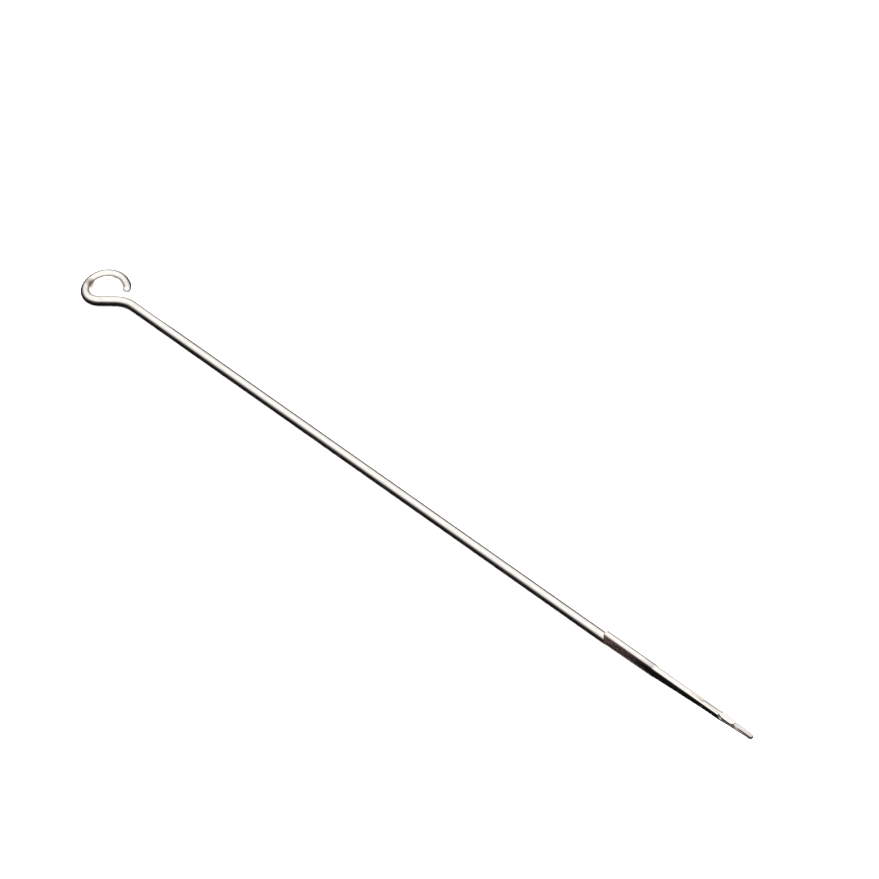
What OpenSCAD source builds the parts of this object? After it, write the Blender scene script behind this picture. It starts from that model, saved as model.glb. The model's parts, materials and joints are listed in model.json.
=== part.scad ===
// Latch-hook needle threader: a wire shaft bent into an open ring handle, with a riveted
// latch needle brazed to its tip. The origin is the middle of the ring's opening, X runs along
// the shaft's axis to the tip, Y is across it and Z is up from the table that the tool lies on.

/* [Wire] */
// Diameter of the wire
wire_d = 2; // [1.8:0.1:2.4]
// Overall length, from the back of the ring to the nose of the hook
overall_l = 185; // [120:5:260]

/* [Ring handle] */
// Radius of the ring, to the centre of the wire
ring_r = 4; // [3.8:0.1:9]
// How far the centre of the ring lies to the side of the shaft's axis
ring_side = 0.25; // [0:0.05:0.5]
// Angle from the shaft round to the ring's free end
free_end_angle = 35; // [28:1:80]
// Slope of the neck that joins the ring to the shaft
neck_slope = 42; // [38:1:50]
// How far inside the ring's circle the neck passes
neck_inset = 0.43; // [0.2:0.01:0.6]
// Radius of the bend between the neck and the shaft
neck_bend_r = 6; // [4:0.5:9]

/* [Needle head] */
// Length of the head, from the back of the shank to the nose
head_l = 38.6; // [34:0.2:50]
// Length of the half-lap joint between the shank and the wire
lap_l = 12.8; // [8:0.2:16]
// Thickness of the shank, at the lap joint
shank_t = 1.5; // [1.44:0.02:1.56]
// Thickness of the stem at the latch
stem_t = 1.34; // [1.28:0.02:1.4]
// Height of the shank's top edge above the wire
shank_rise = 1; // [0.85:0.05:1.1]

/* [Hook] */
// Width of the hook where its beard ends
hook_w = 1; // [0.9:0.02:1.04]
// Width of the hook at the nose
nose_w = 0.8; // [0.7:0.02:0.88]
// Thickness of the hook's arms at the nose, seen from the side
hook_arm = 0.2; // [0.18:0.01:0.22]
// Thickness of the beard at its tip
beard_tip_t = 0.2; // [0.16:0.01:0.24]
// Distance from the nose back to the tip of the beard
beard_l = 5.2; // [4.9:0.1:5.5]

/* [Latch] */
// Distance from the nose back to the rivet
pivot_back = 12.7; // [12.5:0.1:13.5]
// Thickness of the latch where it runs in the slot
latch_t = 0.44; // [0.36:0.02:0.5]
// Gap on each side of the latch in its slot
slot_gap = 0.05; // [0.03:0.01:0.06]
// Width of the spoon at the end of the latch
spoon_w = 1.3; // [1.26:0.01:1.32]
// Radius of the rivet
rivet_r = 0.28; // [0.24:0.01:0.29]
// Radial clearance of the latch on the rivet
rivet_gap = 0.03; // [0.02:0.01:0.05]
// Opening angle drawn, where 0 is closed
latch_angle = 0; // [0:5:165]

/* [Hidden] */
$fn = 64;
arc_steps = 16;

steel = [0.80, 0.79, 0.78];
nickel = [0.86, 0.85, 0.83];
braze = [0.72, 0.56, 0.46];

wire_r = wire_d / 2;
tip_x = overall_l - ring_r - wire_r;

// The ring closes into the neck on the -Y side, with a tighter bend that is tangent to both.
tight_from = 260;
tight_to = 270 + neck_slope;
tight_r = ring_r - neck_inset / (1 - cos(tight_to - tight_from));
tight_x = (ring_r - tight_r) * cos(tight_from);
tight_y = (ring_r - tight_r) * sin(tight_from) - ring_side;

// The neck runs on to the bend that turns it into the shaft.
neck_x = tight_x + tight_r * cos(tight_to);
neck_y = tight_y + tight_r * sin(tight_to);
bend_rise = neck_bend_r * (1 - cos(neck_slope));
neck_l = (-neck_y - bend_rise) / sin(neck_slope);
shaft_x = neck_x + neck_l * cos(neck_slope) + neck_bend_r * sin(neck_slope);

// How much thinner the wire is in its bends, and how far a bend runs into its neighbour.
bend_thin = 0.01;
bend_lap = 0.05;

// Stations along the head.
lap_x0 = tip_x - head_l;
lap_x1 = lap_x0 + lap_l;
pivot_x = tip_x - pivot_back;
cheek_slope_x = pivot_x + 4.2;
cheek_x1 = pivot_x + 4.5;
cheek_x2 = cheek_x1 + 0.5;
beard_x = tip_x - beard_l;
hook_x = beard_x - 0.5;

// Heights along the head, from the axis of the wire.
lap_z = -0.1;
shank_top = wire_r + shank_rise;
stem_top = shank_top - 0.28;
stem_foot_z = -0.4;
pivot_foot_z = 0.4;
hook_foot_z = 0.55;
nose_foot_z = 0.66;
pivot_z = stem_top - 0.55;

// The shank and the stem are rounded along their top edges. The blank is cut a little higher.
shank_round = 0.7;
stem_round = 0.3;
blank_over = 0.01;

// The tongue of the lap is the lower part of the wire. It starts to taper before the lap.
tongue_lead = 0.8;
tongue_r = 0.92 * wire_r;
tongue_end_r = 0.81 * wire_r;
braze_out = 0.15;
braze_up = 0.42;
braze_end_out = 0.04;
braze_end_up = 0.12;

// The beard is a low arch, which the spoon of the latch covers at its tip.
arch_x = tip_x - 2.6;
arch_z = stem_top - 0.03;
arch_drop = 0.035;
beard_points = 10;

// The nose is round, and so is the inner end of the throat. The arch runs into both.
nose_r = 0.44;
nose_x = tip_x - nose_r;
nose_z = nose_foot_z + nose_r;
throat_r = nose_r - hook_arm;
arch_end_angle = 90 - atan(2 * arch_drop * (nose_x - arch_x));
throat_floor_z = hook_foot_z + 0.46;

// The slot behind the rivet has the round floor that a slitting saw leaves.
saw_r = 9.2;
slot_floor_z = pivot_foot_z + 0.27;
slot_w = latch_t + 2 * slot_gap;

// The latch, seen closed.
boss_r = rivet_r + 0.17;
neck_foot_z = pivot_z - 0.13;
neck_top_z = stem_top - 0.1;
spoon_t = 0.12;
spoon_lip = 0.3;
spoon_wall = 0.1;
spoon_x0 = pivot_x + 4.5;
spoon_x1 = pivot_x + 5.4;
spoon_x2 = beard_x + 0.6 - spoon_w / 2;
rivet_head_r = rivet_r + 0.1;
rivet_head_l = 0.1;

// Points along an arc about (x, y), from angle a0 to a1.
function arc(x, y, r, a0, a1) =
    [for (i = [0:arc_steps]) let (a = a0 + (a1 - a0) * i / arc_steps) [x + r * cos(a), y + r * sin(a)]];

// Draws a side view, with X forward and Y up, as a plate of thickness t centred on the tool.
module plate(t) {
    rotate([90, 0, 0])
        linear_extrude(height = t, center = true)
            children();
}

// A stretch of wire of radius r bent round the origin, from angle a0 to a1. Each end of the bend
// runs a short way into its neighbour.
module bent_wire(centre_r, a0, a1, r) {
    lap_angle = atan(bend_lap / centre_r);
    rotate([0, 0, a0 - lap_angle])
        rotate_extrude(angle = a1 - a0 + 2 * lap_angle)
            translate([centre_r, 0])
                circle(r = r);
}

// The ring, from its domed free end round to the neck. Bending draws the wire down a little.
module ring() {
    translate([0, -ring_side, 0]) {
        bent_wire(ring_r, free_end_angle, tight_from, wire_r - bend_thin);
        rotate([0, 0, free_end_angle])
            translate([ring_r, 0, 0])
                sphere(r = wire_r - 2 * bend_thin);
    }
    translate([tight_x, tight_y, 0])
        bent_wire(tight_r, tight_from, tight_to, wire_r - 2 * bend_thin);
}

module neck() {
    translate([neck_x, neck_y, 0])
        rotate([0, 90, neck_slope])
            cylinder(r = wire_r, h = neck_l);
    translate([shaft_x, -neck_bend_r, 0])
        bent_wire(neck_bend_r, 90, 90 + neck_slope, wire_r - bend_thin);
}

// Straight part of the wire, cut to half its height and tapered at the lap.
module shaft_and_tongue() {
    shaft_l = lap_x0 - shaft_x;
    difference() {
        translate([shaft_x, 0, 0])
            rotate([0, 90, 0])
                rotate_extrude()
                    polygon([
                        [0, 0],
                        [wire_r, 0],
                        [wire_r, shaft_l - tongue_lead],
                        [tongue_r, shaft_l + tongue_lead],
                        [tongue_end_r, shaft_l + lap_l],
                        [0, shaft_l + lap_l],
                    ]);
        translate([lap_x0, -wire_d, lap_z])
            cube([lap_l + 1, 2 * wire_d, wire_d]);
    }
}

module wire_shaft() {
    color(steel) {
        ring();
        neck();
        shaft_and_tongue();
    }
}

// Points along the beard between two stations, at a depth under the arch that changes evenly.
function beard_edge(x0, x1, depth0, depth1) =
    [for (i = [0:beard_points])
        let (u = i / beard_points, x = x0 + (x1 - x0) * u)
            [x, arch_z - arch_drop * pow(x - arch_x, 2) - depth0 - (depth1 - depth0) * u]];

// Outline of the blade from the side, with the throat of the hook left open.
module blade_side() {
    polygon(concat(
        [
            [lap_x0, lap_z],
            [lap_x0, shank_top + blank_over],
            [lap_x1, shank_top + blank_over],
            [lap_x1, stem_top + blank_over],
            [cheek_slope_x, stem_top + blank_over],
            [cheek_x1, throat_floor_z + 0.12],
            [cheek_x2, throat_floor_z],
        ],
        arc(nose_x, nose_z, throat_r, -90, 60),
        beard_edge(nose_x - 0.3, beard_x, hook_arm, beard_tip_t),
        beard_edge(beard_x + 0.08, nose_x - 0.3, 0, 0),
        arc(nose_x, nose_z, nose_r, arch_end_angle, -90),
        [
            [hook_x, hook_foot_z],
            [pivot_x, pivot_foot_z],
            [lap_x1, stem_foot_z],
            [lap_x1, lap_z],
        ]
    ));
}

// Outline of the blade from above, narrowing to the rounded nose.
module blade_plan() {
    polygon(concat(
        [
            [lap_x0, -shank_t / 2],
            [lap_x1, -shank_t / 2],
            [lap_x1, -stem_t / 2],
            [cheek_x1, -stem_t / 2],
            [hook_x, -hook_w / 2],
        ],
        arc(tip_x - nose_w / 2, 0, nose_w / 2, -90, 90),
        [
            [hook_x, hook_w / 2],
            [cheek_x1, stem_t / 2],
            [lap_x1, stem_t / 2],
            [lap_x1, shank_t / 2],
            [lap_x0, shank_t / 2],
        ]
    ));
}

// A bar along X from x0 to x1, with its top edges rounded. Its sides clear the blade's plan.
module rounded_bar(x0, x1, width, top, round_r) {
    side = width / 2 + blank_over;
    translate([x0, 0, 0])
        rotate([90, 0, 90])
            linear_extrude(height = x1 - x0)
                polygon(concat(
                    [[-side, -wire_d], [side, -wire_d]],
                    arc(side - round_r, top - round_r, round_r, 0, 90),
                    arc(round_r - side, top - round_r, round_r, 90, 180)
                ));
}

// Slot for the latch: a saw cut behind the rivet, and open to the throat in front of it.
module latch_slot() {
    saw_rise = shank_top + 0.5 - slot_floor_z;
    saw_angle = acos(1 - saw_rise / saw_r);
    plate(slot_w)
        polygon(concat(
            arc(pivot_x, slot_floor_z + saw_r, saw_r, -90 - saw_angle, -90),
            [
                [cheek_x2 + 0.1, throat_floor_z + 0.05],
                [cheek_x2 + 0.1, shank_top + 0.5],
            ]
        ));
}

// The rivet seen from above: a pin with a countersunk head at each face of the stem.
module rivet_shape() {
    translate([pivot_x, 0, pivot_z])
        rotate([90, 0, 0]) {
            cylinder(r = rivet_r, h = stem_t, center = true);
            for (side = [0, 1])
                mirror([0, 0, side])
                    translate([0, 0, stem_t / 2 - rivet_head_l])
                        cylinder(r1 = rivet_r, r2 = rivet_head_r, h = rivet_head_l);
        }
}

module needle_blade() {
    color(nickel)
        difference() {
            intersection() {
                plate(2 * shank_t)
                    blade_side();
                translate([0, 0, -wire_d])
                    linear_extrude(height = 2 * wire_d + shank_top)
                        blade_plan();
                union() {
                    rounded_bar(lap_x0 - 1, lap_x1, shank_t, shank_top, shank_round);
                    rounded_bar(lap_x1 - 0.5, tip_x + 1, stem_t, stem_top, stem_round);
                }
            }
            latch_slot();
            rivet_shape();
        }
}

// One bead of braze in the corner between the shank and the flat of the tongue.
module braze_bead() {
    hull() {
        translate([lap_x0, shank_t / 2, lap_z])
            bead_slice(braze_out, braze_up);
        translate([lap_x1 - 0.02, shank_t / 2, lap_z])
            bead_slice(braze_end_out, braze_end_up);
    }
}

module bead_slice(out, up) {
    rotate([90, 0, 90])
        linear_extrude(height = 0.02)
            polygon([[0, 0], [out, 0], [0, up]]);
}

module braze_seam() {
    color(braze)
        for (side = [0, 1])
            mirror([0, side, 0])
                braze_bead();
}

module latch_rivet() {
    color(steel)
        rivet_shape();
}

// Spoon of the latch from above: it widens from the neck and has a round end.
module spoon_plan() {
    polygon(concat(
        [
            [spoon_x0, latch_t / 2],
            [spoon_x0, -latch_t / 2],
            [spoon_x1, -spoon_w / 2],
        ],
        arc(spoon_x2, 0, spoon_w / 2, -90, 90),
        [[spoon_x1, spoon_w / 2]]
    ));
}

// The cup under the spoon, which takes the tip of the beard.
module spoon_cup() {
    cup_x = beard_x - 0.4;
    translate([cup_x, spoon_wall - spoon_w / 2, stem_top - spoon_t - spoon_lip - 1])
        cube([spoon_w + beard_l, spoon_w - 2 * spoon_wall, 1 + spoon_lip]);
}

module closed_latch() {
    difference() {
        union() {
            translate([pivot_x, 0, pivot_z])
                rotate([90, 0, 0])
                    cylinder(r = boss_r, h = latch_t, center = true);
            plate(latch_t)
                polygon([
                    [pivot_x, neck_foot_z],
                    [pivot_x, pivot_z + boss_r],
                    [pivot_x + 1, neck_top_z],
                    [spoon_x0, stem_top],
                    [spoon_x1, stem_top],
                    [spoon_x1, stem_top - spoon_t - spoon_lip],
                ]);
            translate([0, 0, stem_top - spoon_t - spoon_lip])
                linear_extrude(height = spoon_t + spoon_lip)
                    spoon_plan();
        }
        spoon_cup();
        translate([pivot_x, 0, pivot_z])
            rotate([90, 0, 0])
                cylinder(r = rivet_r + rivet_gap, h = 2 * latch_t, center = true);
    }
}

module latch() {
    color(nickel)
        translate([pivot_x, 0, pivot_z])
            rotate([0, -latch_angle, 0])
                translate([-pivot_x, 0, -pivot_z])
                    closed_latch();
}

wire_shaft();
needle_blade();
braze_seam();
latch_rivet();
latch();
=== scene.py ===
"""Looks for the latch needle threader.

Polished wire, needle blade, latch, rivet and braze are each built as a mesh around their CAD node.
"""

import json
import math

import bmesh
import bpy
from mathutils import Matrix, Vector


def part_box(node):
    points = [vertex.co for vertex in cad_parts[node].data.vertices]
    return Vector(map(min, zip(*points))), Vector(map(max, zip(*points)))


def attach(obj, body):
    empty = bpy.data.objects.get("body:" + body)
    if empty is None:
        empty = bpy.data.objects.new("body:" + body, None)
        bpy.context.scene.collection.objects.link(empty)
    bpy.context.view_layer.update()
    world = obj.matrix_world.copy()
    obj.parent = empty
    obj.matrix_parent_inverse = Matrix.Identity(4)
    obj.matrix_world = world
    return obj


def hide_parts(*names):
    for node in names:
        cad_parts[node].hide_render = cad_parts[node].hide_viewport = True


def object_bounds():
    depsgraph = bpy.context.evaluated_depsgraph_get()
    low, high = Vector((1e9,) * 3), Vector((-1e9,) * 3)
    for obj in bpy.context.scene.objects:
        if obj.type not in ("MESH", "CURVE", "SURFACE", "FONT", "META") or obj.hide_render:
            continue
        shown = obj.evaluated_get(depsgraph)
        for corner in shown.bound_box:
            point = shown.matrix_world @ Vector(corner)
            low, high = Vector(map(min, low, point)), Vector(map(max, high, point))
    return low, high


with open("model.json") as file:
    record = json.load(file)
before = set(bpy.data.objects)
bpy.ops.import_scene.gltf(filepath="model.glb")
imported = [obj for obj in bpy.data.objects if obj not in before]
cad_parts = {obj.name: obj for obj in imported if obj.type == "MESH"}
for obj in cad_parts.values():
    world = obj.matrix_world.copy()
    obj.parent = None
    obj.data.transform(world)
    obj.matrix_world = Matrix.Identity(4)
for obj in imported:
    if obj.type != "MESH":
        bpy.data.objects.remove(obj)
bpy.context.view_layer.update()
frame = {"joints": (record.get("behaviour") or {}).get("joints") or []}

# Meshes are built in millimetres and scaled to metres when they are finished.
MM = 0.001


# ---------------------------------------------------------------- sizes, read from the frame

def box_mm(node):
    low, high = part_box(node)
    return low / MM, high / MM


WIRE_HIGH = box_mm("wire_shaft")[1]
BLADE_LOW, BLADE_HIGH = box_mm("needle_blade")
SEAM_LOW = box_mm("braze_seam")[0]
RIVET_LOW, RIVET_HIGH = box_mm("latch_rivet")
LATCH_LOW, LATCH_HIGH = box_mm("latch")
PIVOT = Vector(frame["joints"][0]["pos_m"]) / MM

WIRE_R = WIRE_HIGH.z
BENT_R = WIRE_R * 0.99
TIP_X = BLADE_HIGH.x
LAP_X0 = BLADE_LOW.x
LAP_X1 = WIRE_HIGH.x
LAP_Z = SEAM_LOW.z
SHANK_TOP = BLADE_HIGH.z
SHANK_T = BLADE_HIGH.y - BLADE_LOW.y
STEM_T = RIVET_HIGH.y - RIVET_LOW.y
STEM_TOP = LATCH_HIGH.z
SPOON_W = LATCH_HIGH.y - LATCH_LOW.y
SPOON_END = LATCH_HIGH.x
RIVET_HEAD_R = (RIVET_HIGH.x - RIVET_LOW.x) / 2
RIVET_SINK = 0.1
RIVET_R = RIVET_HEAD_R - RIVET_SINK

# Shape of the handle, as in the CAD. Its ring lies RING_SIDE to one side of the shaft's axis.
RING_SIDE = 0.25
RING_R = WIRE_HIGH.y + RING_SIDE - BENT_R
FREE_END_ANGLE = math.radians(35)
NECK_SLOPE = math.radians(42)
NECK_INSET = 0.43
NECK_BEND_R = 6.0
TIGHT_FROM = math.radians(260)
TIGHT_TO = math.radians(270) + NECK_SLOPE
TIGHT_R = RING_R - NECK_INSET / (1 - math.cos(TIGHT_TO - TIGHT_FROM))

# How the hand-bent ring strays from a true circle: it is a little oval and a little three-cornered,
# each by an amount and turned by an angle, and it flares out at its free end.
OVAL = 0.057
OVAL_TURN = math.radians(132)
CORNERED = 0.072
CORNERED_TURN = math.radians(-49)
FLARE = 0.22
FLARE_FADE = 0.6

# Shape of the head, as in the CAD. Heights are above the axis of the wire.
STEM_FOOT_Z = -0.4
PIVOT_FOOT_Z = 0.4
HOOK_FOOT_Z = 0.55
NOSE_FOOT_Z = 0.66
CHEEK_SLOPE_X = PIVOT.x + 4.2
CHEEK_X1 = PIVOT.x + 4.5
CHEEK_X2 = CHEEK_X1 + 0.5
BEARD_X = SPOON_END - 0.6
HOOK_X = BEARD_X - 0.5
THROAT_FLOOR_Z = HOOK_FOOT_Z + 0.46
LATCH_T = 0.44
SLOT_GAP = 0.05
SLOT_W = LATCH_T + 2 * SLOT_GAP
SLOT_FLOOR_Z = PIVOT_FOOT_Z + 0.27
SAW_R = 9.2
RIVET_GAP = 0.03
BOSS_R = RIVET_R + 0.17
NOSE_R = 0.44
NOSE_X = TIP_X - NOSE_R
NOSE_Z = NOSE_FOOT_Z + NOSE_R
ARM_T = 0.2
ARCH_X = TIP_X - 2.6
ARCH_Z = STEM_TOP - 0.03
ARCH_DROP = 0.035
HOOK_HALF_W = 0.5
NOSE_HALF_W = 0.4

# Roundings of the blade, and the lengths over which it eases from the shank to the stem,
# behind and in front of the end of the lap.
SHANK_ROUND = 0.7
STEM_ROUND = 0.46
CHEEK_ROUND = 0.16
FOOT_ROUND = 0.05
CHEEK_FOOT_ROUND = 0.06
EASE_BEHIND = 0.12
EASE_FRONT = 0.5


# ---------------------------------------------------------------- mesh helpers

def smoothstep(edge0, edge1, value):
    t = min(1.0, max(0.0, (value - edge0) / (edge1 - edge0)))
    return t * t * (3 - 2 * t)


def mix(a, b, t):
    return a + (b - a) * t


def mesh_object(name, verts, faces):
    mesh = bpy.data.meshes.new(name)
    mesh.from_pydata([tuple(v) for v in verts], [], faces)
    mesh.validate()
    obj = bpy.data.objects.new(name, mesh)
    bpy.context.scene.collection.objects.link(obj)
    bm = bmesh.new()
    bm.from_mesh(mesh)
    bmesh.ops.recalc_face_normals(bm, faces=bm.faces)
    bm.to_mesh(mesh)
    bm.free()
    return obj


def loft(name, rings):
    """A closed tube through rings of equal length, with a fan over each end."""
    count = len(rings[0])
    verts = [v for ring in rings for v in ring]
    faces = []
    for i in range(len(rings) - 1):
        near, far = i * count, (i + 1) * count
        for j in range(count):
            k = (j + 1) % count
            faces.append((near + j, near + k, far + k, far + j))
    for start in (0, (len(rings) - 1) * count):
        centre = sum((Vector(v) for v in verts[start:start + count]), Vector()) / count
        verts.append(centre)
        hub = len(verts) - 1
        faces += [(hub, start + j, start + (j + 1) % count) for j in range(count)]
    return mesh_object(name, verts, faces)


def prism_y(name, outline, low, high):
    """A straight prism along Y from low to high, with its outline in XZ."""
    count = len(outline)
    verts = [(x, y, z) for y in (low, high) for x, z in outline]
    faces = [tuple(range(count)), tuple(range(count, 2 * count))]
    faces += [(j, (j + 1) % count, (j + 1) % count + count, j + count) for j in range(count)]
    return mesh_object(name, verts, faces)


def lathe_y(name, profile, centre, segments=64):
    """A solid of revolution about the Y direction through centre, from (radius, y) points."""
    rings = []
    for radius, y in profile:
        ring = []
        for j in range(segments):
            a = 2 * math.pi * j / segments
            ring.append((centre.x + radius * math.cos(a), y, centre.z + radius * math.sin(a)))
        rings.append(ring)
    return loft(name, rings)


def apply_modifiers(obj):
    graph = bpy.context.evaluated_depsgraph_get()
    mesh = bpy.data.meshes.new_from_object(obj.evaluated_get(graph))
    obj.modifiers.clear()
    old = obj.data
    obj.data = mesh
    bpy.data.meshes.remove(old)


def boolean(obj, other, operation):
    cut = obj.modifiers.new(operation, "BOOLEAN")
    cut.operation = operation
    cut.solver = "EXACT"
    cut.object = other
    apply_modifiers(obj)
    bpy.data.objects.remove(other)


def finish_mesh(obj, body, node, material, smooth_angle=32):
    """Scales a piece to metres, shades it and lets it stand for its CAD node."""
    obj.data.transform(Matrix.Scale(MM, 4))
    bm = bmesh.new()
    bm.from_mesh(obj.data)
    for face in bm.faces:
        face.smooth = True
    for edge in bm.edges:
        edge.smooth = edge.calc_face_angle(0.0) < math.radians(smooth_angle)
    bm.to_mesh(obj.data)
    bm.free()
    weighted = obj.modifiers.new("weighted", "WEIGHTED_NORMAL")
    weighted.keep_sharp = True
    apply_modifiers(obj)
    obj.data.materials.clear()
    obj.data.materials.append(material)
    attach(obj, body)
    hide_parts(node)


# ---------------------------------------------------------------- materials

WIRE_TINT = (0.90, 0.875, 0.85)
RIVET_TINT = (0.60, 0.585, 0.57)
STAIN = (0.68, 0.62, 0.58)
HEAT_TINT = (0.42, 0.30, 0.28)
# Diffuse brown for the painted brownish reflection of the dark surroundings on the shank's side.
PAINTED_REFLECTION_TINT = (0.62, 0.36, 0.31)
# Painted shade that darkens the hook towards its tip.
PAINTED_SHADE_TINT = (0.58, 0.52, 0.51)
# Painted brownish reflection of the shaft on the ring's inner side.
PAINTED_RING_REFLECTION_TINT = (0.25, 0.17, 0.13)
BRAZE_LIGHT = (0.22, 0.15, 0.125)
BRAZE_DARK = (0.11, 0.07, 0.06)

# The painted brown reflection's share of what is seen where it is at its fullest, and its clouds'
# lowest amount.
PAINTED_REFLECTION_SHARE = 0.058
PAINTED_REFLECTION_THIN = 0.55

# Sockets of the Mix node when it mixes colours.
MIX_A, MIX_B, MIX_RESULT = 6, 7, 2


class Graph:
    """A short way to write a node tree. Its helpers take and return sockets."""

    def __init__(self, tree, output_kind):
        self.tree = tree
        self.tree.nodes.clear()
        self.out = self.node(output_kind)

    def node(self, kind, **settings):
        made = self.tree.nodes.new(kind)
        for key, value in settings.items():
            setattr(made, key, value)
        return made

    def feed(self, node, **values):
        """Fills inputs by name from sockets or plain values. An underscore stands for a space."""
        for key, value in values.items():
            self.plug(node.inputs[key.replace("_", " ")], value)

    def plug(self, entry, value):
        if isinstance(value, bpy.types.NodeSocket):
            self.tree.links.new(value, entry)
        else:
            entry.default_value = value

    def maths(self, operation, *values):
        made = self.node("ShaderNodeMath", operation=operation)
        for entry, value in zip(made.inputs, values):
            self.plug(entry, value)
        return made.outputs[0]

    def ramp(self, value, low, high, at_low, at_high):
        """A straight ramp from at_low to at_high, level beyond low and high."""
        remap = self.node("ShaderNodeMapRange")
        self.feed(remap, Value=value, From_Min=low, From_Max=high, To_Min=at_low, To_Max=at_high)
        return remap.outputs[0]

    def mix_shaders(self, share, first, second):
        mixer = self.node("ShaderNodeMixShader")
        for entry, value in zip(mixer.inputs, (share, first, second)):
            self.plug(entry, value)
        return mixer.outputs[0]


class MaterialGraph(Graph):
    """A material with one main shader. Places in it are in object coordinates."""

    def __init__(self, name):
        self.material = bpy.data.materials.new(name)
        self.material.use_nodes = True
        super().__init__(self.material.node_tree, "ShaderNodeOutputMaterial")
        self.shader = self.node("ShaderNodeBsdfPrincipled")
        self.feed(self.out, Surface=self.shader.outputs["BSDF"])

    def place(self):
        return self.node("ShaderNodeTexCoord").outputs["Object"]

    def along_x(self):
        split = self.node("ShaderNodeSeparateXYZ")
        self.feed(split, Vector=self.place())
        return split.outputs["X"]

    def distance_from(self, point):
        """Distance, in metres, from a point in metres."""
        reach = self.node("ShaderNodeVectorMath", operation="DISTANCE")
        self.plug(reach.inputs[0], self.place())
        self.plug(reach.inputs[1], point)
        return reach.outputs["Value"]

    def noise(self, scale, detail=4.0, roughness=0.55):
        """Noise with so many features per millimetre along each axis."""
        mapping = self.node("ShaderNodeMapping")
        self.feed(mapping, Vector=self.place(), Scale=[s / MM for s in scale])
        noise = self.node("ShaderNodeTexNoise")
        self.feed(noise, Vector=mapping.outputs["Vector"])
        self.feed(noise, Scale=1.0, Detail=detail, Roughness=roughness)
        return noise.outputs["Fac"]

    def blend(self, share, colour_a, colour_b):
        """Mixes two colours, each an RGB tuple or a socket."""
        mixer = self.node("ShaderNodeMix", data_type="RGBA")
        self.plug(mixer.inputs[0], share)
        for entry, colour in ((MIX_A, colour_a), (MIX_B, colour_b)):
            self.plug(mixer.inputs[entry], (*colour, 1) if isinstance(colour, tuple) else colour)
        return mixer.outputs[MIX_RESULT]

    def bump(self, height, strength, distance):
        bump = self.node("ShaderNodeBump")
        self.feed(bump, Height=height, Strength=strength, Distance=distance)
        self.feed(self.shader, Normal=bump.outputs["Normal"])


def add_painted_reflection_and_heat_line(g, colour, full_x, clear_x, line_x):
    """A painted brownish reflection of the dark surroundings, as a diffuse brown that is full at
    one place along X and gone at the next, and a narrow flux line.

    The line is a peak of tint that fades slowly towards the lap and fast in front.
    """
    x = g.along_x()
    fade = g.ramp(x, full_x * MM, clear_x * MM, 1.0, 0.0)
    cloud = g.ramp(g.noise((0.9, 1.6, 1.6)), 0.3, 0.7, PAINTED_REFLECTION_THIN, 1.0)
    share = g.maths("MULTIPLY", g.maths("MULTIPLY", fade, cloud), PAINTED_REFLECTION_SHARE)
    # A diffuse brown, lit by the soft light, paints the brownish reflection on the shank's side.
    painted_reflection = g.node("ShaderNodeBsdfDiffuse")
    g.feed(painted_reflection, Color=(*PAINTED_REFLECTION_TINT, 1))
    g.feed(g.out, Surface=g.mix_shaders(share, g.shader.outputs[0], painted_reflection.outputs[0]))

    behind = g.ramp(x, (line_x - 3.2) * MM, (line_x - 0.3) * MM, 0.0, 0.42)
    front = g.ramp(x, (line_x - 0.05) * MM, (line_x + 0.5) * MM, 1.0, 0.0)
    return g.blend(g.maths("MULTIPLY", behind, front), colour, HEAT_TINT)


def plated_steel(name, tint, base_rough, line_bump, line_scale, painted_reflection_places=None, painted_shade=None, painted_ring_reflection=None):
    """Polished plate with drawing lines, hair scratches, faint stains and slightly rougher patches.

    A painted brownish reflection takes three places along X: where it is full, where it is gone and
    where the flux line lies. Painted shade darkens the plate more and more between its two places.
    A painted reflection of the shaft is a brown mark about a point.
    """
    stain_share = 0.30
    scratch_rough = 0.10
    patch_rough = 1.9
    g = MaterialGraph(name)
    patches = g.noise((0.35, 0.8, 0.8), 3.0)
    colour = g.blend(g.ramp(patches, 0.45, 0.72, 0.0, stain_share), tint, STAIN)

    drawn = g.noise(line_scale, 2.0)
    scratches = g.noise([s * 2.3 for s in line_scale], 6.0, 0.75)
    sparse = g.ramp(scratches, 0.60, 0.72, 0.0, 1.0)
    rough = g.ramp(patches, 0.3, 0.75, base_rough, base_rough * patch_rough)
    g.feed(g.shader, Metallic=1.0, Roughness=g.maths("MULTIPLY_ADD", sparse, scratch_rough, rough))
    g.bump(g.maths("SUBTRACT", drawn, sparse), line_bump, 0.004 * MM)

    if painted_reflection_places:
        colour = add_painted_reflection_and_heat_line(g, colour, *painted_reflection_places)
    # Painted shade, darker and darker between the two places.
    if painted_shade:
        painted_shade_share = g.ramp(g.along_x(), painted_shade[0] * MM, painted_shade[1] * MM, 0.0, 0.85)
        colour = g.blend(painted_shade_share, colour, PAINTED_SHADE_TINT)
    # A painted reflection, brown about a point.
    if painted_ring_reflection:
        reach = g.distance_from([c * MM for c in painted_ring_reflection])
        mark = g.ramp(reach, 0.6 * MM, 1.4 * MM, 0.88, 0.0)
        colour = g.blend(mark, colour, PAINTED_RING_REFLECTION_TINT)
    g.feed(g.shader, Base_Color=colour)
    return g.material


def braze_metal():
    g = MaterialGraph("braze_metal")
    flow = g.noise((1.5, 3.0, 3.0), 5.0)
    colour = g.blend(g.ramp(flow, 0.35, 0.65, 0.0, 1.0), BRAZE_LIGHT, BRAZE_DARK)
    rough = g.ramp(flow, 0.3, 0.7, 0.20, 0.42)
    g.feed(g.shader, Base_Color=colour, Metallic=0.95, Roughness=rough)
    g.bump(g.noise((9.0, 9.0, 9.0)), 0.5, 0.02 * MM)
    return g.material


# ---------------------------------------------------------------- wire shaft with its ring

WIRE_SIDES = 72

# How far from the step of the half-lap the wire starts to thin.
THINNING_L = 0.9


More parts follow.
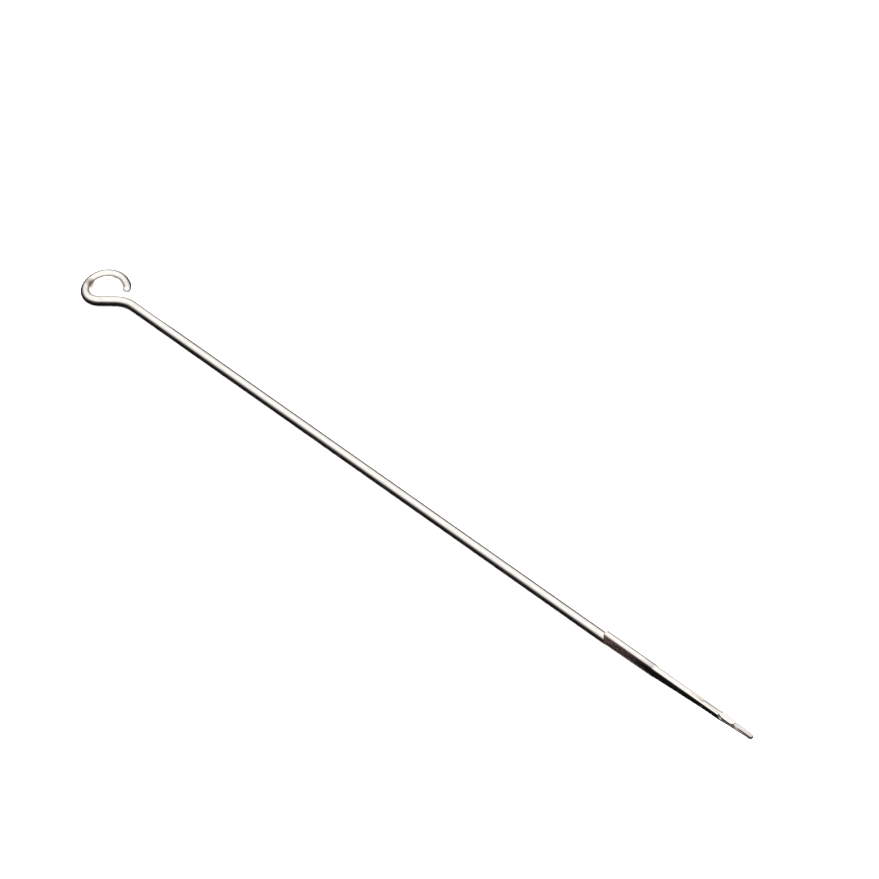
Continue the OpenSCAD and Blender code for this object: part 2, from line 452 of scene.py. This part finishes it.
def ring_point(angle):
    """The ring's centre line at an angle, measured about the centre of the arc that it lies on."""
    uneven = OVAL * math.cos(2 * angle + OVAL_TURN)
    uneven += CORNERED * math.cos(3 * angle + CORNERED_TURN)
    uneven *= 1 - smoothstep(TIGHT_FROM - 0.3, TIGHT_TO, angle)
    flare = FLARE * (1 - smoothstep(0.0, FLARE_FADE, angle - FREE_END_ANGLE))
    tight = angle > TIGHT_FROM
    shift = RING_R - TIGHT_R if tight else 0.0
    radius = (TIGHT_R if tight else RING_R) + uneven + flare
    x = shift * math.cos(TIGHT_FROM) + radius * math.cos(angle)
    y = shift * math.sin(TIGHT_FROM) + radius * math.sin(angle) - RING_SIDE
    return Vector((x, y, 0))


def wire_path():
    """Stations along the wire: (centre, direction, wire radius), from the free end to the lap."""
    steps = 190
    probe = 0.001
    for i in range(steps + 1):
        a = mix(FREE_END_ANGLE, TIGHT_TO, i / steps)
        ahead = ring_point(a + probe) - ring_point(a - probe)
        yield ring_point(a), math.atan2(ahead.y, ahead.x), BENT_R
    # The straight neck, and the bend that brings it onto the shaft's axis.
    start = ring_point(TIGHT_TO)
    rise = NECK_BEND_R * (1 - math.cos(NECK_SLOPE))
    neck_l = (-start.y - rise) / math.sin(NECK_SLOPE)
    along = Vector((math.cos(NECK_SLOPE), math.sin(NECK_SLOPE), 0))
    steps = 8
    for i in range(1, steps):
        yield start + along * neck_l * i / steps, NECK_SLOPE, BENT_R
    bend_start = start + along * neck_l
    shaft_x = bend_start.x + NECK_BEND_R * math.sin(NECK_SLOPE)
    steps = 40
    for i in range(steps + 1):
        a = NECK_SLOPE * (1 - i / steps)
        x = shaft_x - NECK_BEND_R * math.sin(a)
        y = -NECK_BEND_R * (1 - math.cos(a))
        yield Vector((x, y, 0)), a, mix(BENT_R, WIRE_R, i / steps)
    steps = 110
    for i in range(1, steps + 1):
        x = mix(shaft_x, LAP_X0 - THINNING_L, i / steps)
        yield Vector((x, 0, 0)), 0.0, WIRE_R


def wire_ring(centre, direction, radius, ceiling=math.inf):
    """A round section of the wire, cut flat where it would rise above the ceiling."""
    side = Vector((-math.sin(direction), math.cos(direction), 0))
    ring = []
    for j in range(WIRE_SIDES):
        a = 2 * math.pi * j / WIRE_SIDES
        z = min(radius * math.sin(a), ceiling)
        ring.append(centre + side * radius * math.cos(a) + Vector((0, 0, z)))
    return ring


def shaft_ring(x, radius, ceiling=math.inf):
    return wire_ring(Vector((x, 0, 0)), 0.0, radius, ceiling)


def end_dome():
    """Sections that close the wire's free end, nearly as a half ball."""
    centre, direction, radius = next(wire_path())
    back = -Vector((math.cos(direction), math.sin(direction), 0))
    length = radius * 0.95
    steps = 16
    for i in range(1, steps):
        a = math.pi / 2 * i / steps
        yield wire_ring(centre + back * (length * math.cos(a)), direction, radius * math.sin(a))


def lap_step():
    """Sections of the step of the half-lap, with a small round at its edge."""
    edge = 0.05
    radius = WIRE_R * 0.96
    yield shaft_ring(LAP_X0 - edge, radius)
    for a in (0.35, 0.8, 1.2, math.pi / 2):
        inset = edge * (1 - math.cos(a))
        yield shaft_ring(LAP_X0 - edge + edge * math.sin(a), radius, radius - inset)


def tongue():
    """Sections of the tapering tongue under the shank, with a rounded end."""
    start_r = 0.92 * WIRE_R
    end_r = 0.81 * WIRE_R
    round_l = 0.08
    round_r = 0.1
    fullness = 0.97
    steps = 40
    for i in range(steps + 1):
        x = mix(LAP_X0, LAP_X1 - round_l, i / steps)
        thinned = mix(WIRE_R, start_r, smoothstep(-THINNING_L, THINNING_L, x - LAP_X0))
        yield shaft_ring(x, mix(thinned, end_r, (x - LAP_X0) / (LAP_X1 - LAP_X0)), LAP_Z)
    for share in (0.5, 0.85, 1.0):
        radius = end_r - round_r * (1 - math.sqrt(1 - fullness * share * share))
        yield shaft_ring(LAP_X1 - round_l * (1 - share), radius, LAP_Z)


def make_wire():
    rings = list(end_dome())
    rings += [wire_ring(*station) for station in wire_path()]
    rings += [*lap_step(), *tongue()]
    return loft("polished_wire", rings)


# ---------------------------------------------------------------- needle blade

def arc_points(x, z, radius, start, end, steps):
    angles = [mix(start, end, i / steps) for i in range(steps + 1)]
    return [(x + radius * math.cos(a), z + radius * math.sin(a)) for a in angles]


def arch_z(x):
    """Top of the beard, which is slightly arched."""
    return ARCH_Z - ARCH_DROP * (x - ARCH_X) ** 2


def foot_z(x):
    """Underside of the blade in front of the lap."""
    stations = (
        (LAP_X1, STEM_FOOT_Z),
        (PIVOT.x, PIVOT_FOOT_Z),
        (HOOK_X, HOOK_FOOT_Z),
        (NOSE_X, NOSE_FOOT_Z),
    )
    for (x0, z0), (x1, z1) in zip(stations, stations[1:]):
        if x <= x1:
            return mix(z0, z1, (x - x0) / (x1 - x0))
    return NOSE_FOOT_Z


def half_width(x):
    """Half the blade's width in front of the lap."""
    if x < CHEEK_X1:
        return STEM_T / 2
    if x < HOOK_X:
        return mix(STEM_T / 2, HOOK_HALF_W, (x - CHEEK_X1) / (HOOK_X - CHEEK_X1))
    return mix(HOOK_HALF_W, NOSE_HALF_W, (x - HOOK_X) / (TIP_X - HOOK_X))


def nose_half_width(x):
    """Half the hook's width beside the nose. From above the nose is round, with a blunt end."""
    blunt = 0.06
    past = (x - TIP_X + NOSE_HALF_W) / NOSE_HALF_W
    return NOSE_HALF_W * math.sqrt(max(blunt, 1 - max(0.0, past) ** 2))


def superellipse(half_w, half_h, power, count):
    """(across, up) points of an ellipse that gets squarer as the power rises above 2."""
    points = []
    for j in range(count):
        a = 2 * math.pi * j / count
        c = math.cos(a)
        s = math.sin(a)
        across = math.copysign(abs(c) ** (2 / power), c) * half_w
        up = math.copysign(abs(s) ** (2 / power), s) * half_h
        points.append((across, up))
    return points


def bar_ring(x, half_w, foot, top, top_round, foot_round):
    """A bar's section at x, as a loop with its corners rounded."""
    top_round = min(top_round, half_w * 0.96, (top - foot) * 0.55)
    foot_round = min(foot_round, half_w * 0.5, (top - foot) * 0.3)
    corners = (
        (half_w - top_round, top - top_round, top_round, 0),
        (top_round - half_w, top - top_round, top_round, 90),
        (foot_round - half_w, foot + foot_round, foot_round, 180),
        (half_w - foot_round, foot + foot_round, foot_round, 270),
    )
    steps = 12
    ring = []
    for y, z, radius, start in corners:
        for i in range(steps + 1):
            a = math.radians(start + 90 * i / steps)
            ring.append(Vector((x, y + radius * math.cos(a), z + radius * math.sin(a))))
    return ring


def arm_top(x):
    """Top of the hook's lower arm, which is the floor of the throat."""
    return mix(THROAT_FLOOR_Z, NOSE_FOOT_Z + ARM_T, (x - CHEEK_X2) / (NOSE_X - CHEEK_X2))


def hook_stations():
    """Centre line of the hook in XZ: (x, z, direction, half width, half thickness, squareness)."""
    arm_square, nose_square, beard_square = 14.0, 5.0, 3.4
    half_t = ARM_T / 2
    bend_r = NOSE_R - half_t
    probe = 0.05

    start_x = CHEEK_X1 - 0.6
    steps = 36
    for i in range(steps):
        x = mix(start_x, NOSE_X, i / steps)
        middle = (foot_z(x) + arm_top(x)) / 2
        slope = math.atan2(foot_z(x + probe) - foot_z(x - probe), 2 * probe) * 0.5
        square = mix(arm_square, nose_square, smoothstep(BEARD_X, NOSE_X, x))
        wide = half_width(x) * nose_half_width(x) / NOSE_HALF_W
        yield x, middle, slope, wide, (arm_top(x) - foot_z(x)) / 2, square

    arch_turn = math.pi - math.atan(2 * ARCH_DROP * (NOSE_X - ARCH_X))
    steps = 28
    for i in range(steps + 1):
        a = mix(-math.pi / 2, arch_turn - math.pi / 2, i / steps)
        x = NOSE_X + bend_r * math.cos(a)
        z = NOSE_Z + bend_r * math.sin(a)
        wide = nose_half_width(x + 0.05)
        yield x, z, a + math.pi / 2, wide, half_t, mix(nose_square, beard_square, i / steps)

    first_x = NOSE_X + bend_r * math.cos(arch_turn - math.pi / 2)
    tip_half_w, tip_half_t = 0.32, 0.09
    steps = 40
    for i in range(1, steps + 1):
        share = i / steps
        x = mix(first_x - 0.05, BEARD_X + 0.1, share)
        slope = math.atan2(arch_z(x - probe) - arch_z(x + probe), -2 * probe)
        thick = mix(half_t, tip_half_t, share)
        wide = mix(nose_half_width(x), half_width(x), smoothstep(0.0, 0.35, share))
        wide = mix(wide, tip_half_w, smoothstep(0.72, 1.0, share))
        yield x, arch_z(x) - thick, slope, wide, thick, beard_square


def make_hook():
    stations = list(hook_stations())
    # The beard's tip is closed with a small round.
    x, z, turn, wide, thick, square = stations[-1]
    tip_l = 0.1
    steps = 8
    for i in range(1, steps):
        a = math.pi / 2 * i / steps
        step = tip_l * math.sin(a)
        shrink = math.cos(a)
        place = (x + step * math.cos(turn), z + step * math.sin(turn))
        stations.append((*place, turn, wide * shrink, thick * shrink, square))
    rings = []
    for x, z, turn, wide, thick, square in stations:
        normal = Vector((-math.sin(turn), 0, math.cos(turn)))
        section = superellipse(wide, thick, square, 40)
        rings.append([Vector((x, across, z)) + normal * up for across, up in section])
    return loft("hook", rings)


def cheek_top(x):
    """Top of the blade in front of the lap: level, and then falling to the arm of the hook."""
    end_z = arm_top(CHEEK_X2) + 0.005
    corner_z = THROAT_FLOOR_Z + 0.12
    if x < CHEEK_X1:
        run = (x - CHEEK_SLOPE_X) / (CHEEK_X1 - CHEEK_SLOPE_X)
        return mix(STEM_TOP, corner_z, max(0.0, run) ** 1.25)
    return mix(corner_z, end_z, ((x - CHEEK_X1) / (CHEEK_X2 - CHEEK_X1)) ** 0.6)


def shoulder(x):
    """Half width and top of the blade where it eases from the shank down to the stem."""
    drop = smoothstep(LAP_X1 - EASE_BEHIND, LAP_X1 + EASE_FRONT, x)
    return mix(SHANK_T / 2, STEM_T / 2, drop), mix(SHANK_TOP, STEM_TOP, drop)


def blade_sections():
    # The shank's square end, with a small round all the way round it.
    edge = 0.06
    steps = 6
    for i in range(steps + 1):
        a = math.pi / 2 * i / steps
        inset = edge * (1 - math.sin(a))
        x = LAP_X0 + edge * (1 - math.cos(a))
        half_w, top = SHANK_T / 2 - inset, SHANK_TOP - inset
        yield bar_ring(x, half_w, LAP_Z, top, SHANK_ROUND, FOOT_ROUND)
    steps = 12
    for i in range(1, steps + 1):
        x = mix(LAP_X0 + edge, LAP_X1 - EASE_BEHIND, i / steps)
        yield bar_ring(x, SHANK_T / 2, LAP_Z, SHANK_TOP, SHANK_ROUND, FOOT_ROUND)
    # The shoulder, first over the end of the lap and then in front of it.
    steps = 4
    for i in range(1, steps + 1):
        x = LAP_X1 - EASE_BEHIND + 0.11 * i / steps
        half_w, top = shoulder(x)
        yield bar_ring(x, half_w, LAP_Z, top, SHANK_ROUND, FOOT_ROUND)
    steps = 12
    for i in range(steps):
        x = LAP_X1 + EASE_FRONT * i / steps
        half_w, top = shoulder(x)
        round_r = mix(SHANK_ROUND, STEM_ROUND, i / steps)
        yield bar_ring(x, half_w, foot_z(x), top, round_r, FOOT_ROUND)
    # The stem and the cheeks.
    steps = 90
    for i in range(steps + 1):
        x = mix(LAP_X1 + EASE_FRONT, CHEEK_X2, i / steps)
        round_r = mix(STEM_ROUND, CHEEK_ROUND, smoothstep(PIVOT.x - 5, PIVOT.x, x))
        yield bar_ring(x, half_width(x), foot_z(x), cheek_top(x), round_r, CHEEK_FOOT_ROUND)


def slot_cutter():
    """The slot's shape: a saw's round run-out behind the pivot, and an open front end."""
    clear_z = SHANK_TOP + 0.5
    clear_x = CHEEK_X2 + 0.1
    sweep = math.acos(1 - (clear_z - SLOT_FLOOR_Z) / SAW_R)
    down = -math.pi / 2
    outline = arc_points(PIVOT.x, SLOT_FLOOR_Z + SAW_R, SAW_R, down - sweep, down, 48)
    outline += [(clear_x, THROAT_FLOOR_Z + 0.05), (clear_x, clear_z)]
    return prism_y("slot", outline, -SLOT_W / 2, SLOT_W / 2)


def rivet_hole_cutter():
    """The rivet's hole, countersunk from both sides."""
    half = STEM_T / 2
    profile = [(RIVET_HEAD_R + RIVET_SINK, -half - RIVET_SINK), (RIVET_R, -half + RIVET_SINK)]
    profile += [(radius, -y) for radius, y in reversed(profile)]
    return lathe_y("hole", profile, PIVOT)


def make_blade():
    blade = loft("latch_needle", list(blade_sections()))
    boolean(blade, slot_cutter(), "DIFFERENCE")
    boolean(blade, rivet_hole_cutter(), "DIFFERENCE")
    boolean(blade, make_hook(), "UNION")
    return blade


# ---------------------------------------------------------------- latch and rivet

def latch_section(x):
    """Half width, top, foot and cup depth of the closed latch at x."""
    boss_top = 0.97
    neck_start = 0.13
    spoon_t = 0.45
    edge_t = 0.12
    cup_depth = 0.3
    reach = x - PIVOT.x
    top = mix(PIVOT.z + BOSS_R * boss_top, STEM_TOP, smoothstep(0.0, 4.5, reach))
    neck_foot = mix(PIVOT.z - neck_start, STEM_TOP - spoon_t, smoothstep(0.5, 6.0, reach))
    foot = mix(PIVOT.z - BOSS_R, neck_foot, smoothstep(0.0, 1.5, reach))
    if reach < 0:
        round_h = math.sqrt(max(0.0, BOSS_R * BOSS_R - reach * reach))
        top = PIVOT.z + round_h * boss_top
        foot = PIVOT.z - round_h
    half_w = mix(LATCH_T / 2, SPOON_W / 2, smoothstep(3.9, 5.4, reach))
    # The spoon's end is round from above, and it thins to an edge.
    to_end = SPOON_END - x
    end_r = SPOON_W / 2
    if to_end < end_r:
        half_w *= math.sqrt(max(0.0, 1 - (1 - to_end / end_r) ** 2))
    foot = mix(foot, STEM_TOP - edge_t, smoothstep(0.55, 0.05, to_end))
    cup = cup_depth * smoothstep(5.6, 6.8, reach) * smoothstep(0.0, 0.5, to_end)
    return half_w, top, foot, cup


def latch_places():
    """Places along X, close together at both round ends."""
    end_l = 0.5
    steps = 16
    turns = [math.pi / 2 * i / steps for i in range(1, steps)]
    places = [PIVOT.x - BOSS_R * math.cos(a) for a in turns]
    places += [mix(PIVOT.x, SPOON_END - end_l, i / 90) for i in range(91)]
    return places + [SPOON_END - end_l * math.cos(a) for a in turns]


def latch_ring(x):
    """The latch's section at x, with a softer crown than its foot, and with the spoon's cup."""
    count = 96
    rim = 0.11
    half_w, top, foot, cup = latch_section(x)
    spoon = smoothstep(3.5, 6.5, x - PIVOT.x)
    crowned = superellipse(half_w, (top - foot) / 2, mix(7.0, 5.0, spoon), count)
    plain = superellipse(half_w, (top - foot) / 2, mix(7.0, 9.0, spoon), count)
    inner = max(0.02, half_w - rim)
    ring = []
    for across, up in [c if c[1] > 0 else p for c, p in zip(crowned, plain)]:
        z = (top + foot) / 2 + up
        if up < 0 and abs(across) < inner:
            z += cup * (1 - (abs(across) / inner) ** 4)
        ring.append(Vector((x, across, z)))
    return ring


def make_latch():
    latch = loft("swing_latch", [latch_ring(x) for x in latch_places()])
    hole_r = RIVET_R + RIVET_GAP
    boolean(latch, lathe_y("hole", [(hole_r, -1), (hole_r, 1)], PIVOT), "DIFFERENCE")
    return latch


def make_rivet():
    """A rivet that flares at both ends, with slightly domed faces."""
    half = STEM_T / 2
    middle_r = 0.02
    rim_drop = 0.02
    rim_r = 0.98
    side = [(middle_r, -half)]
    steps = 6
    for i in range(1, steps + 1):
        a = math.pi / 2 * i / steps
        side.append((RIVET_HEAD_R * math.sin(a) * rim_r, -half + rim_drop * (1 - math.cos(a))))
    side.append((RIVET_R, -half + RIVET_SINK))
    profile = side + [(radius, -y) for radius, y in reversed(side)]
    return lathe_y("peened_rivet", profile, PIVOT, 96)


# ---------------------------------------------------------------- braze

def bead_section(x, side):
    """A bead in the corner between the tongue's flat and the shank's side, nearly flat-faced.

    It reaches out over the flat and up the side, less and less towards the front, and its edges
    wander a little. It is sunk into both faces, so that no gap shows.
    """
    sag = 0.12
    along = (x - LAP_X0) / (LAP_X1 - LAP_X0)
    wander = 1 + 0.10 * math.sin(2.1 * x + 2 * side) + 0.05 * math.sin(5.3 * x + side)
    out = mix(0.150, 0.035, along) * mix(1.0, wander, 0.4)
    up = mix(0.42, 0.12, along) * wander
    face_y = SHANK_T / 2
    y0 = face_y - 0.03
    z0 = LAP_Z - 0.02
    points = [(y0, z0), (face_y + out, z0)]
    steps = 8
    for i in range(steps + 1):
        t = i / steps
        full = 1 - sag * math.sin(math.pi * t)
        points.append((face_y + out * (1 - t) * full + 0.002, LAP_Z + up * t * full + 0.004))
    points.append((y0, LAP_Z + up))
    return [Vector((x, side * y, z)) for y, z in points]


def make_bead(side):
    steps = 90
    places = [mix(LAP_X0 + 0.005, LAP_X1 - 0.02, i / steps) for i in range(steps + 1)]
    return loft("braze_beads", [bead_section(x, side) for x in places])


def make_braze():
    braze = make_bead(-1)
    boolean(braze, make_bead(1), "UNION")
    return braze


# ---------------------------------------------------------------- build the pieces

# Where the painted brownish reflection of the shaft lies on the ring's inner side.
ring_reflection_angle = math.radians(208)
ring_reflection_r = RING_R - 0.92 * WIRE_R
ring_reflection_at = (
    ring_reflection_r * math.cos(ring_reflection_angle),
    ring_reflection_r * math.sin(ring_reflection_angle) - RING_SIDE,
    0.4 * WIRE_R,
)
wire_steel = plated_steel(
    "plated_wire", WIRE_TINT, base_rough=0.09, line_bump=0.35, line_scale=(0.25, 14.0, 14.0),
    painted_ring_reflection=ring_reflection_at,
)
blade_steel = plated_steel(
    "plated_needle", WIRE_TINT, base_rough=0.10, line_bump=0.4, line_scale=(0.3, 16.0, 16.0),
    # Painted brownish reflection on the shank beside the lap, and painted shade darker towards the
    # hook's tip.
    painted_reflection_places=(LAP_X0 + 1, LAP_X0 + 11, LAP_X1), painted_shade=(BEARD_X, TIP_X),
)
latch_steel = plated_steel(
    "plated_latch", WIRE_TINT, base_rough=0.11, line_bump=0.4, line_scale=(0.6, 18.0, 18.0)
)
rivet_steel = plated_steel(
    "peened_steel", RIVET_TINT, base_rough=0.12, line_bump=0.5, line_scale=(9.0, 9.0, 9.0)
)

finish_mesh(make_wire(), "threader", "wire_shaft", wire_steel)
finish_mesh(make_blade(), "threader", "needle_blade", blade_steel)
finish_mesh(make_braze(), "threader", "braze_seam", braze_metal(), smooth_angle=50)
finish_mesh(make_rivet(), "threader", "latch_rivet", rivet_steel)
finish_mesh(make_latch(), "latch", "latch", latch_steel)


# ---------------------------------------------------------------- stage, light and camera

FLOOR_GAP = 0.00004
FLOOR_HALF = 1.5

# Discs of floor that metal sees, as (x, y, radius), in and beside the ring and under its free end.
# Their rims fade over SEEN_FADE to each side.
SEEN_DISCS = (
    (0.0, 0.0, RING_R - 0.4),
    (RING_R + 3.5, 5.6, 5.5),
    (RING_R + 0.7, 0.3, 1.5),
)
SEEN_FADE = 0.2

# Brightness of the dome in reflections, from 0 straight down through 0.5 level to 1 straight up.
DOME_STOPS = (
    (0.0, 0.004), (0.46, 0.006), (0.53, 0.04), (0.60, 0.16),
    (0.70, 0.42), (0.80, 0.84), (0.89, 1.0), (1.0, 1.0),
)
DOME_STRENGTH = 1.12
SOFT_LIGHT = 3.0


def make_floor():
    """A plain pale floor. Polished metal sees it only in the discs, and sees the dark elsewhere."""
    low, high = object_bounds()
    middle = (low + high) / 2
    floor_z = low.z - FLOOR_GAP
    corners = [(-1, -1), (1, -1), (1, 1), (-1, 1)]
    outline = [(middle.x + a * FLOOR_HALF, middle.y + b * FLOOR_HALF, floor_z) for a, b in corners]
    floor = mesh_object("floor", outline, [(0, 1, 2, 3)])
    g = MaterialGraph("floor")
    shade = g.ramp(g.noise((0.05, 0.05, 0.05), 3.0), 0.3, 0.7, 0.0, 1.0)
    colour = g.blend(shade, (0.93, 0.93, 0.925), (0.95, 0.95, 0.945))
    g.feed(g.shader, Base_Color=colour, Roughness=0.9, Specular_IOR_Level=0.0)

    hidden = g.node("ShaderNodeLightPath").outputs["Is Glossy Ray"]
    for x, y, radius in SEEN_DISCS:
        reach = g.distance_from((x * MM, y * MM, floor_z))
        beyond = g.ramp(reach, (radius - SEEN_FADE) * MM, (radius + SEEN_FADE) * MM, 0.0, 1.0)
        hidden = g.maths("MULTIPLY", hidden, beyond)
    clear = g.node("ShaderNodeBsdfTransparent")
    g.feed(g.out, Surface=g.mix_shaders(hidden, g.shader.outputs[0], clear.outputs[0]))
    floor.data.materials.append(g.material)


def make_world():
    """A soft white dome. Reflections see it only above a low dark horizon."""
    world = bpy.data.worlds.new("studio")
    world.use_nodes = True
    bpy.context.scene.world = world
    g = Graph(world.node_tree, "ShaderNodeOutputWorld")
    split = g.node("ShaderNodeSeparateXYZ")
    g.feed(split, Vector=g.node("ShaderNodeTexCoord").outputs["Generated"])
    height = g.ramp(split.outputs["Z"], -1.0, 1.0, 0.0, 1.0)

    dome = g.node("ShaderNodeValToRGB")
    elements = dome.color_ramp.elements
    while len(elements) < len(DOME_STOPS):
        elements.new(0.5)
    for element, (at, value) in zip(elements, DOME_STOPS):
        element.position = at
        element.color = (value, value * 0.985, value * 0.965, 1)
    g.plug(dome.inputs[0], height)

    seen = g.node("ShaderNodeBackground")
    g.feed(seen, Color=dome.outputs[0], Strength=DOME_STRENGTH)
    soft = g.node("ShaderNodeBackground")
    g.feed(soft, Color=(1, 1, 1, 1), Strength=SOFT_LIGHT)
    glossy = g.node("ShaderNodeLightPath").outputs["Is Glossy Ray"]
    g.feed(g.out, Surface=g.mix_shaders(glossy, soft.outputs[0], seen.outputs[0]))


def make_camera():
    """A long lens from the near right, turned a little so that the shaft falls to the right."""
    azimuth = math.radians(51.61)
    elevation = math.radians(43.05)
    roll = math.radians(-5.96)
    distance = 1.4954
    aim = Vector((0.07922, 0.01515, 0))
    forward = Vector((
        -math.sin(azimuth) * math.cos(elevation),
        math.cos(azimuth) * math.cos(elevation),
        -math.sin(elevation),
    ))
    right = forward.cross(Vector((0, 0, 1))).normalized()
    up = right.cross(forward)
    turned_right = right * math.cos(roll) + up * math.sin(roll)
    turned_up = up * math.cos(roll) - right * math.sin(roll)
    data = bpy.data.cameras.new("camera")
    data.sensor_width = 36
    data.lens = 323.9
    data.clip_start = 0.01
    data.clip_end = 10
    camera = bpy.data.objects.new("camera", data)
    bpy.context.scene.collection.objects.link(camera)
    turn = Matrix((turned_right, turned_up, -forward)).transposed()
    camera.matrix_world = Matrix.Translation(aim - forward * distance) @ turn.to_4x4()
    bpy.context.scene.camera = camera


make_floor()
make_world()
make_camera()
bpy.context.scene.view_settings.view_transform = "Standard"
